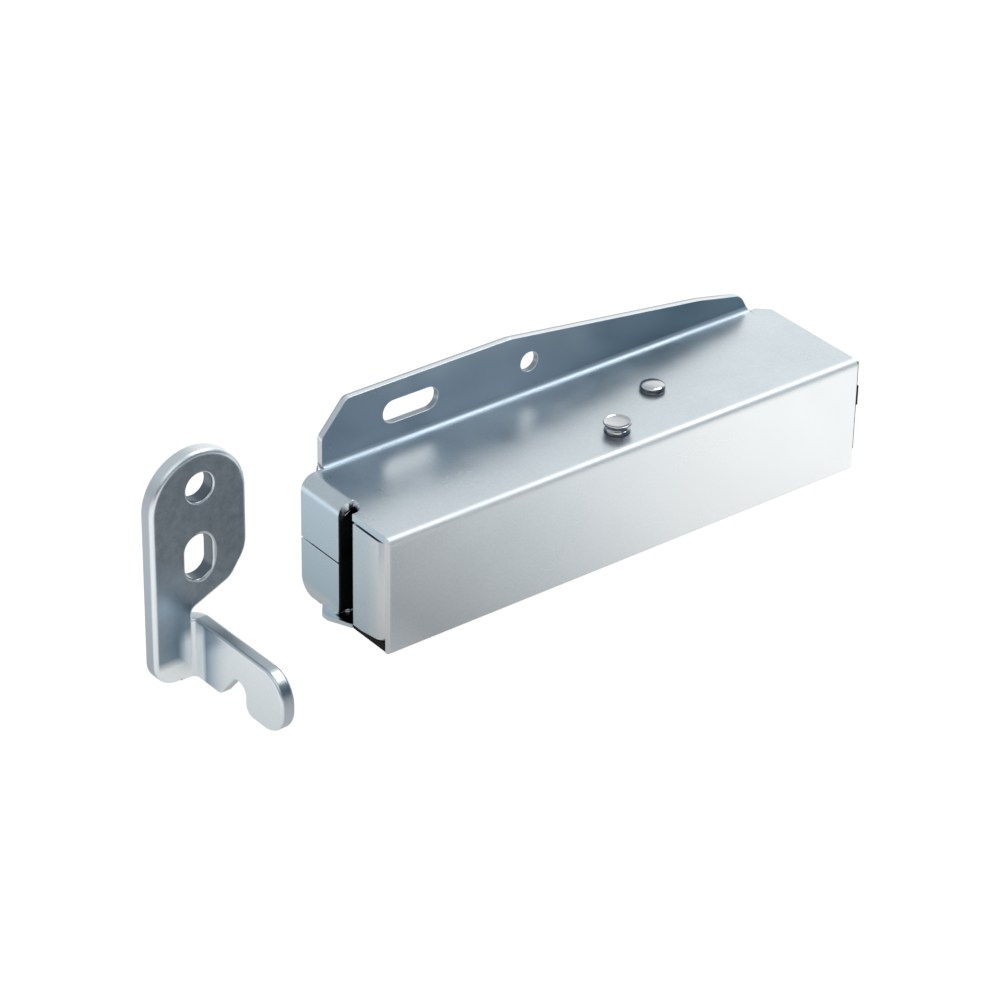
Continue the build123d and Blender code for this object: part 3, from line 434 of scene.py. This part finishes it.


# Touches of painted light and shade on the pieces, with the strike's own mottle
def case_painted_light(tree, color, rough):
    """Case: painted highlights on the folds and cut edges, which are also softer than the flat
    sheet; painted dark reflection on the flange, darker along X; painted light reflection on the
    front plate; painted bluish reflection on the end flaps; painted shade on hole walls and inside
    the case.
    """
    # Painted dark reflection on the flange's face, darker along X
    flange = all_of(tree, along_axis(tree, "Z", FLANGE_HEIGHT), facing(tree, *TO_FRONT))
    shade = along_axis(tree, "X", FLANGE_SHADE_X)
    dark = mixed(tree, shade, FLANGE_NEAR_REFLECTION_TONE, FLANGE_FAR_REFLECTION_TONE)
    color = mixed(tree, flange, color, dark)
    # Painted light reflection on the front plate, lighter toward the right
    white = all_of(
        tree,
        along_axis(tree, "X", FRONT_PAINTED_LIGHT_X),
        facing(tree, *TO_FRONT),
        along_axis(tree, "Y", FRONT_DEPTH_Y),
    )
    color = mixed(tree, white, color, FRONT_PAINTED_LIGHT_TONE)
    # Painted bluish reflection on the left-facing end flaps
    flaps = all_of(
        tree,
        along_axis(tree, "X", FLAPS_X),
        facing(tree, *TO_LEFT),
        along_axis(tree, "Z", FLAPS_HEIGHT),
    )
    color = mixed(tree, flaps, color, FLAPS_REFLECTION_TONE)
    # Painted highlights on the front fold, the flange fold, the front plate's cut end and the
    # flange's top edge, which also get rougher
    front_fold = near_line(tree, *FRONT_FOLD)
    flange_fold = near_line(tree, *FLANGE_FOLD)
    cut = all_of(tree, along_axis(tree, "Z", FLANGE_CUT_HEIGHT), facing(tree, *LYING))
    highlighted = any_of(tree, front_fold, near_line(tree, *END_EDGE), cut)
    color = mixed(tree, highlighted, color, EDGE_HIGHLIGHT_TONE)
    color = mixed(tree, flange_fold, color, FLANGE_FOLD_HIGHLIGHT_TONE)
    # Painted shade on the rear of the flange's cut top edge
    back = all_of(tree, cut, along_axis(tree, "Y", FLANGE_BACK_Y))
    color = mixed(tree, back, color, FLANGE_BACK_SHADE_TONE)
    # Painted shade on the walls of the flange's holes
    walls = all_of(tree, near_holes(tree, FLANGE_HOLES), facing(tree, *FLANGE_WALLS))
    color = mixed(tree, walls, color, FLANGE_WALL_SHADE_TONE)
    # Painted shadow inside the case
    color = painted_inside_shadow(tree, color)
    softer = weighted(
        tree,
        (any_of(tree, highlighted, flange_fold), EDGE_HIGHLIGHT_SOFTNESS),
        (front_fold, FRONT_FOLD_SOFTNESS),
    )
    return color, combine(tree, "ADD", rough, softer)


def column_painted_highlight(tree, color, rough):
    """Inner plate: painted highlight on its end column toward the fold, and painted shadow where
    it lies low inside the case.
    """
    color = mixed(tree, along_axis(tree, "Y", COLUMN_Y), color, COLUMN_HIGHLIGHT_TONE)
    return painted_inside_shadow(tree, color), rough


def painted_inside_shadow(tree, color):
    """Painted shadow: floor of the case black where it shows through the slot and under the
    column.
    """
    inside = all_of(
        tree,
        facing(tree, *LYING),
        along_axis(tree, "Z", INSIDE_HEIGHT),
        along_axis(tree, "X", INSIDE_X),
        along_axis(tree, "Y", INSIDE_Y),
    )
    return mixed(tree, inside, color, INSIDE_SHADOW_TONE)


def strike_mottle_and_painted_light(tree, color, rough):
    """Strike: painted light and shade: a mottled dark reflection on the face, highlights on the
    top edge and hole rims, shade on the other edges and in the hole walls, a dark reflection on
    the arm.
    """
    plain = object_space(tree, (1, 1, 1))
    mottle = spread(tree, noise(tree, plain, *STRIKE_MOTTLE), *STRIKE_MOTTLE_RANGE)
    drift = spread(tree, noise(tree, plain, *STRIKE_DRIFT), *STRIKE_DRIFT_RANGE)
    # Painted dark reflection over the plate's face, mottled, lighter low down and in a patch at
    # the lower left
    dark = mixed(tree, mottle, PLATE_DARK_REFLECTION_TONE, PLATE_LIGHT_REFLECTION_TONE)
    dark = mixed(tree, along_axis(tree, "Z", PLATE_LOW_HEIGHT), dark, PLATE_LOW_REFLECTION_TONE)
    light_patch = all_of(tree, near_line(tree, *PLATE_LIGHT_PATCH), drift)
    dark = mixed(tree, light_patch, dark, PLATE_LIGHT_PATCH_TONE)
    # Painted highlight on the plate's foot and its bend
    bend = all_of(
        tree, along_axis(tree, "X", PLATE_BEND_X), along_axis(tree, "Z", PLATE_BEND_HEIGHT)
    )
    foot = any_of(tree, along_axis(tree, "Z", PLATE_FOOT_HEIGHT), bend)
    dark = mixed(tree, foot, dark, PLATE_FOOT_HIGHLIGHT_TONE)
    # Painted highlight on the plate's top edge, painted shade on its other edges and on the arm's
    # edges, then the face
    plate = along_axis(tree, "Y", PLATE_Y)
    rim = mixed(tree, facing(tree, *PLATE_TOP), PLATE_EDGE_SHADE_TONE, PLATE_TOP_HIGHLIGHT_TONE)
    color = mixed(tree, all_of(tree, plate, facing(tree, *PLATE_EDGES)), color, rim)
    arm = combine(tree, "SUBTRACT", 1.0, plate)
    color = mixed(tree, all_of(tree, arm, facing(tree, *ARM_EDGES)), color, ARM_EDGE_SHADE_TONE)
    color = mixed(tree, all_of(tree, plate, facing(tree, *PLATE_FACE)), color, dark)
    # Painted highlights on the hole rims, painted shade on the hole walls
    rims = all_of(tree, near_holes(tree, STRIKE_HOLE_RIMS), drift)
    color = mixed(tree, rims, color, HOLE_RIM_HIGHLIGHT_TONE)
    walls = all_of(tree, near_holes(tree, STRIKE_HOLE_WALLS), facing(tree, *PLATE_NOT_FACE))
    color = mixed(tree, walls, color, HOLE_WALL_SHADE_TONE)
    # Painted dark reflection on the arm beside the bend
    fall = along_axis(tree, "Y", ARM_SHADE_FALL_Y)
    sweep = all_of(
        tree, along_axis(tree, "Y", ARM_SHADE_RISE_Y), fall, fall, facing(tree, *ARM_FACE)
    )
    return mixed(tree, sweep, color, ARM_SHADE_TONE), rough


def rivet_painted_shade(tree, color, rough):
    """Rivet: painted shade on the sides of the head and its waist, darker than the polished top.
    """
    return mixed(tree, facing(tree, *RIVET_TOP), RIVET_SIDE_SHADE_TONE, color), rough


def make_plating():
    """Zinc plating: clouds of tone, rolling grain along X, fine pits and a few hair scratches."""
    group, entry, leave = group_with(
        "plating",
        {
            "Light": COLOR,
            "Dark": COLOR,
            "Gloss": VALUE,
            "Clouding": VALUE,
            "Grain": VALUE,
            "Pitting": VALUE,
            "Scratches": VALUE,
        },
        {"Color": COLOR, "Roughness": VALUE, "Height": VALUE},
    )
    plain = object_space(group, (1, 1, 1))
    clouds = spread(group, noise(group, plain, *CLOUDS), *CLOUD_RANGE)
    drift = spread(group, noise(group, plain, *DRIFT), *CLOUD_RANGE)
    grain = noise(group, object_space(group, ROLLED), *GRAIN)
    pits = spread(group, noise(group, plain, *PITS), *PIT_RANGE)
    # Hair scratches: the middle line of a long stretched noise, in some places only
    bands = noise(group, object_space(group, HAIR_RUN), *HAIRS)
    line = combine(group, "ABSOLUTE", combine(group, "SUBTRACT", bands, MIDDLE), 0.0)
    scratch = all_of(
        group,
        spread(group, line, 0.0, HAIR_WIDTH, 1.0, 0.0),
        spread(group, noise(group, plain, *HAIR_PLACES), *HAIR_SPARSE),
        entry.outputs["Scratches"],
    )
    tone = weighted(
        group,
        (clouds, TONE_OF_CLOUDS),
        (drift, TONE_OF_DRIFT),
        (grain, TONE_OF_GRAIN),
        (combine(group, "SUBTRACT", pits, MIDDLE), TONE_OF_PITS),
        (scratch, TONE_OF_HAIRS),
    )
    color = mixed(group, tone, entry.outputs["Dark"], entry.outputs["Light"])
    clouding = weighted(
        group,
        (combine(group, "SUBTRACT", clouds, MIDDLE), entry.outputs["Clouding"]),
        (combine(group, "SUBTRACT", drift, MIDDLE), entry.outputs["Clouding"]),
        (scratch, HAIR_ROUGHNESS),
    )
    rough = combine(group, "ADD", entry.outputs["Gloss"], clouding)
    height = weighted(group, (grain, entry.outputs["Grain"]), (pits, entry.outputs["Pitting"]))
    height = combine(group, "SUBTRACT", height, scratch)
    link(group, color, leave.inputs["Color"])
    link(group, rough, leave.inputs["Roughness"])
    link(group, height, leave.inputs["Height"])
    return group


plating = make_plating()


def add_relief(tree, shader, height, strength, depth):
    """Bump from a height."""
    relief = add_node(tree, "ShaderNodeBump")
    relief.inputs["Strength"].default_value = strength
    relief.inputs["Distance"].default_value = depth
    link(tree, height, relief.inputs["Height"])
    link(tree, relief.outputs["Normal"], shader.inputs["Normal"])


def zinc(name, finish, bump, touches=None):
    """Zinc-plated steel; touches are this piece's painted light and shade and its other changes of
    colour and roughness.
    """
    material = bpy.data.materials.new(name)
    material.use_nodes = True
    tree = material.node_tree
    shader = tree.nodes["Principled BSDF"]
    shader.inputs["Metallic"].default_value = 1.0
    surface = add_node(tree, "ShaderNodeGroup", node_tree=plating)
    for socket, value in finish.items():
        surface.inputs[socket].default_value = (*value, 1.0) if isinstance(value, tuple) else value
    color, rough = surface.outputs["Color"], surface.outputs["Roughness"]
    if touches:
        color, rough = touches(tree, color, rough)
    link(tree, color, shader.inputs["Base Color"])
    link(tree, rough, shader.inputs["Roughness"])
    add_relief(tree, shader, surface.outputs["Height"], bump, PLATING_DEPTH)
    return material


def moulded(name, color, rough, texture):
    """Moulded plastic or rubber with a fine matt texture."""
    material = bpy.data.materials.new(name)
    material.use_nodes = True
    tree = material.node_tree
    shader = tree.nodes["Principled BSDF"]
    shader.inputs["Specular IOR Level"].default_value = MOULD_SPECULAR
    plain = object_space(tree, (1, 1, 1))
    mottle = spread(tree, noise(tree, plain, *MOULD_MOTTLE), *MOULD_RANGE)
    darker = tuple(MOULD_DARKEST * part for part in color)
    link(tree, mixed(tree, mottle, darker, color), shader.inputs["Base Color"])
    varied = spread(tree, mottle, 0.0, 1.0, rough - MOULD_SPREAD, rough + MOULD_SPREAD)
    link(tree, varied, shader.inputs["Roughness"])
    height = noise(tree, plain, texture, *MOULD_DETAIL)
    add_relief(tree, shader, height, MOULD_BUMP, MOULD_DEPTH)
    return material


def plated(light, dark, gloss, clouding, grain, pitting, scratches):
    """Values of the plating for one finish, by the names of its sockets."""
    return {
        "Light": light,
        "Dark": dark,
        "Gloss": gloss,
        "Clouding": clouding,
        "Grain": grain,
        "Pitting": pitting,
        "Scratches": scratches,
    }


# Finishes: light and dark tone, gloss, clouding, grain, pitting, scratches
CASE = plated((0.91, 0.97, 0.99), (0.77, 0.84, 0.88), 0.31, 0.10, 0.5, 0.6, 0.0)
INNER = plated((0.80, 0.92, 0.98), (0.64, 0.77, 0.84), 0.32, 0.10, 0.4, 0.6, 0.0)
STRIKE = plated((0.93, 0.98, 1.0), (0.84, 0.91, 0.96), 0.33, 0.16, 0.1, 1.0, 0.3)
RIVET = plated((0.86, 0.87, 0.88), (0.74, 0.75, 0.76), 0.14, 0.05, 0.1, 0.4, 0.2)
HARD = plated((0.62, 0.63, 0.65), (0.45, 0.46, 0.48), 0.25, 0.08, 0.4, 0.3, 0.4)
CLAW = plated((0.74, 0.78, 0.80), (0.56, 0.6, 0.63), 0.34, 0.12, 0.3, 0.8, 0.4)
SPRING = plated((0.55, 0.56, 0.58), (0.36, 0.37, 0.39), 0.28, 0.08, 0.6, 0.2, 0.3)
# Slot: finish, strength of the bump, the piece's touches of painted light and shade
ZINC_SLOTS = {
    "case_zinc": (CASE, 0.35, case_painted_light),
    "inner_zinc": (INNER, 0.35, column_painted_highlight),
    "strike_zinc": (STRIKE, 0.5, strike_mottle_and_painted_light),
    "rivet_bright": (RIVET, 0.2, rivet_painted_shade),
    "hard_steel": (HARD, 0.3),
    "claw_zinc": (CLAW, 0.4),
    "spring_steel": (SPRING, 0.3),
}
# Slot: tone, roughness, size of the texture per metre
MOULDED_SLOTS = {
    "black_nylon": ((0.006, 0.006, 0.007), 0.55, 2400.0),
    "pad_rubber": ((0.03, 0.03, 0.03), 0.75, 3200.0),
}

material_of_slot = {slot: zinc(slot, *values) for slot, values in ZINC_SLOTS.items()}
material_of_slot |= {slot: moulded(slot, *values) for slot, values in MOULDED_SLOTS.items()}
slot_of_node = {part["node"]: part["material_slot"] for part in frame["record"]["subparts"]}
for name, piece in nodes.items():
    for place in piece.material_slots:
        place.material = material_of_slot[slot_of_node[name]]


def add_piece(name, mesh, body, slot, *replaced):
    """A finished mesh as a piece that rides on a body and may stand for CAD nodes."""
    piece = bpy.data.objects.new(name, mesh)
    scene.collection.objects.link(piece)
    mesh.materials.clear()
    mesh.materials.append(material_of_slot[slot])
    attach(piece, body)
    if replaced:
        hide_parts(*replaced)
    return piece


def broken_edges(node, name):
    """Copy of a sheet-metal node with its sharp edges broken by a fine bevel."""
    shape = bmesh.new()
    shape.from_mesh(nodes[node].data)
    bmesh.ops.remove_doubles(shape, verts=shape.verts, dist=WELD)
    bmesh.ops.dissolve_limit(
        shape, angle_limit=FLAT_ANGLE, verts=shape.verts, edges=shape.edges
    )
    sheet = BVHTree.FromBMesh(shape)
    sharp = [e for e in shape.edges if e.is_manifold and e.calc_face_angle() > EDGE_ANGLE]
    bmesh.ops.bevel(
        shape,
        geom=sharp,
        offset=EDGE_BREAK,
        offset_type="OFFSET",
        segments=2,
        profile=0.5,
        affect="EDGES",
        clamp_overlap=False,
        material=-1,
    )
    # Corners where the bevel runs out of the sheet are put back on it
    low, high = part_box(node)
    for corner in shape.verts:
        place, _, _, distance = sheet.find_nearest(corner.co)
        if distance > EDGE_BREAK / 2:
            corner.co = place
        corner.co = [min(max(x, least), most) for x, least, most in zip(corner.co, low, high)]
    for face in shape.faces:
        face.smooth = True
    mesh = bpy.data.meshes.new(name)
    shape.to_mesh(mesh)
    shape.free()
    piece = add_piece(name, mesh, "case", slot_of_node[node], node)
    flatter = piece.modifiers.new("flat faces stay flat", "WEIGHTED_NORMAL")
    flatter.weight = 100
    flatter.keep_sharp = True


def turned_rivet(node, name, head):
    """Rivet spun from its outline: countersunk foot, shaft and the head's own outline."""
    low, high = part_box(node)
    centre = (low + high) / 2
    case_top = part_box("housing")[0].z + CASE_HEIGHT
    outline = [(0, low.z), (RIVET_FOOT, low.z), (RIVET_SHAFT, low.z + RIVET_FOOT - RIVET_SHAFT)]
    outline.append((RIVET_SHAFT, case_top))
    outline += [(radius * MM, case_top + height * MM) for radius, height in head]
    shape = bmesh.new()
    path = [shape.verts.new((radius, 0, height)) for radius, height in outline]
    for first, second in zip(path, path[1:]):
        shape.edges.new((first, second))
    bmesh.ops.spin(
        shape,
        geom=list(shape.verts) + list(shape.edges),
        cent=(0, 0, 0),
        axis=(0, 0, 1),
        angle=2 * pi,
        steps=TURN_STEPS,
        use_merge=True,
    )
    bmesh.ops.remove_doubles(shape, verts=shape.verts, dist=WELD)
    bmesh.ops.recalc_face_normals(shape, faces=shape.faces)
    bmesh.ops.translate(shape, verts=shape.verts, vec=(centre.x, centre.y, 0))
    for face in shape.faces:
        face.smooth = True
    for edge in shape.edges:
        edge.smooth = edge.calc_face_angle(0) < TURNED_SHARP
    mesh = bpy.data.meshes.new(name)
    shape.to_mesh(mesh)
    shape.free()
    add_piece(name, mesh, "case", slot_of_node[node], node)


turned_rivet("front_rivet", "front_rivet_turned", FRONT_HEAD)
turned_rivet("rear_rivet", "rear_rivet_turned", REAR_HEAD)
broken_edges("housing", "case_shell")
broken_edges("inner_plate", "inner_shell")


def compressed_spring():
    """Copy of the main spring that stands for it on the case."""
    mesh = nodes["main_spring"].data.copy()
    mesh.name = "main_spring_coil"
    coil = add_piece("main_spring_coil", mesh, "case", slot_of_node["main_spring"], "main_spring")
    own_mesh(coil)


compressed_spring()


# Floor, white to the camera; polished metal sees painted light and shade on it, dimmest between
# the case and the strike
def make_floor():
    bpy.ops.mesh.primitive_plane_add(size=FLOOR_SIZE, location=(0, 0, TABLE_Z))
    floor = bpy.context.object
    floor.name = "floor"
    material = bpy.data.materials.new("floor_white")
    material.use_nodes = True
    tree = material.node_tree
    tree.nodes.clear()
    diffuse = add_node(tree, "ShaderNodeBsdfDiffuse")
    diffuse.inputs["Color"].default_value = FLOOR_GREY
    coordinates = add_node(tree, "ShaderNodeTexCoord")
    parts = add_node(tree, "ShaderNodeSeparateXYZ")
    link(tree, coordinates.outputs["Object"], parts.inputs["Vector"])

    def ramp(start, change):
        """Painted level of light that changes along X."""
        return combine(tree, "ADD", combine(tree, "MULTIPLY", parts.outputs["X"], change), start)

    level = combine(tree, "MINIMUM", ramp(*FLOOR_FRONT), ramp(*FLOOR_RIGHT))
    level = any_of(tree, level, ramp(*FLOOR_LEFT))
    level = combine(tree, "MINIMUM", level, FLOOR_BRIGHTEST)
    away = add_node(tree, "ShaderNodeVectorMath", operation="LENGTH")
    link(tree, coordinates.outputs["Object"], away.inputs[0])
    far = spread(tree, away.outputs["Value"], *FLOOR_FADE, 0.0, FLOOR_BRIGHTEST)
    level = any_of(tree, level, far)
    path = add_node(tree, "ShaderNodeLightPath")
    glossy = combine(tree, "MULTIPLY", level, path.outputs["Is Glossy Ray"])
    white = add_node(tree, "ShaderNodeEmission")
    white.inputs["Color"].default_value = (1, 1, 1, 1)
    shown = combine(tree, "MULTIPLY", path.outputs["Is Camera Ray"], FLOOR_WHITE)
    link(tree, combine(tree, "ADD", glossy, shown), white.inputs["Strength"])
    seen = combine(tree, "ADD", path.outputs["Is Camera Ray"], path.outputs["Is Glossy Ray"])
    blend = add_node(tree, "ShaderNodeMixShader")
    out = add_node(tree, "ShaderNodeOutputMaterial")
    link(tree, combine(tree, "MULTIPLY", seen, FLOOR_SHARE), blend.inputs["Fac"])
    link(tree, diffuse.outputs["BSDF"], blend.inputs[1])
    link(tree, white.outputs["Emission"], blend.inputs[2])
    link(tree, blend.outputs["Shader"], out.inputs["Surface"])
    floor.data.materials.append(material)


make_floor()


# Surroundings: white to the camera, bright at the back right, dim behind the camera
def make_surroundings():
    world = bpy.data.worlds.new("studio")
    scene.world = world
    world.use_nodes = True
    tree = world.node_tree
    tree.nodes.clear()
    coordinates = add_node(tree, "ShaderNodeTexCoord")

    def cone(direction, rim, full):
        """How far a direction lies within a cone around another, 0 at its rim and 1 inside."""
        inside = add_node(tree, "ShaderNodeVectorMath", operation="DOT_PRODUCT")
        inside.inputs[1].default_value = Vector(direction).normalized()
        link(tree, coordinates.outputs["Generated"], inside.inputs[0])
        return spread(tree, inside.outputs["Value"], rim, full)

    around = AROUND
    for direction, rim, full, tone in CONES:
        around = mixed(tree, cone(direction, rim, full), around, tone)
    path = add_node(tree, "ShaderNodeLightPath")
    seen = mixed(tree, path.outputs["Is Camera Ray"], around, (1.0, 1.0, 1.0))
    background = add_node(tree, "ShaderNodeBackground")
    out = add_node(tree, "ShaderNodeOutputWorld")
    link(tree, seen, background.inputs["Color"])
    link(tree, background.outputs["Background"], out.inputs["Surface"])


make_surroundings()


def add_softbox():
    """Large soft lamp over the right-hand end."""
    lamp = bpy.data.lights.new("overhead_softbox", "AREA")
    lamp.shape = "RECTANGLE"
    lamp.size, lamp.size_y = SOFTBOX_SIZE
    lamp.energy = SOFTBOX_WATTS
    holder = bpy.data.objects.new("overhead_softbox", lamp)
    scene.collection.objects.link(holder)
    place = Vector(SOFTBOX_PLACE)
    holder.location = place
    holder.rotation_mode = "QUATERNION"
    holder.rotation_quaternion = (Vector(SOFTBOX_TARGET) - place).to_track_quat("-Z", "Y")


add_softbox()


def make_camera():
    """Camera at the photograph's viewing angle, with its small roll."""
    toward = Vector(
        (
            -sin(CAMERA_AZIMUTH) * cos(CAMERA_ELEVATION),
            -cos(CAMERA_AZIMUTH) * cos(CAMERA_ELEVATION),
            sin(CAMERA_ELEVATION),
        )
    )
    level = Vector((cos(CAMERA_AZIMUTH), -sin(CAMERA_AZIMUTH), 0))
    upright = toward.cross(level)
    right = cos(CAMERA_ROLL) * level + sin(CAMERA_ROLL) * upright
    up = cos(CAMERA_ROLL) * upright - sin(CAMERA_ROLL) * level
    camera = bpy.data.cameras.new("camera")
    camera.lens = CAMERA_LENS
    camera.clip_start = 0.01
    holder = bpy.data.objects.new("camera", camera)
    scene.collection.objects.link(holder)
    eye = CAMERA_AIM + toward * CAMERA_DISTANCE - right * AIM_RIGHT - up * AIM_UP
    turn = Matrix((right, up, toward)).transposed().to_4x4()
    holder.matrix_world = Matrix.Translation(eye) @ turn
    scene.camera = holder


make_camera()
scene.view_settings.view_transform = "Standard"
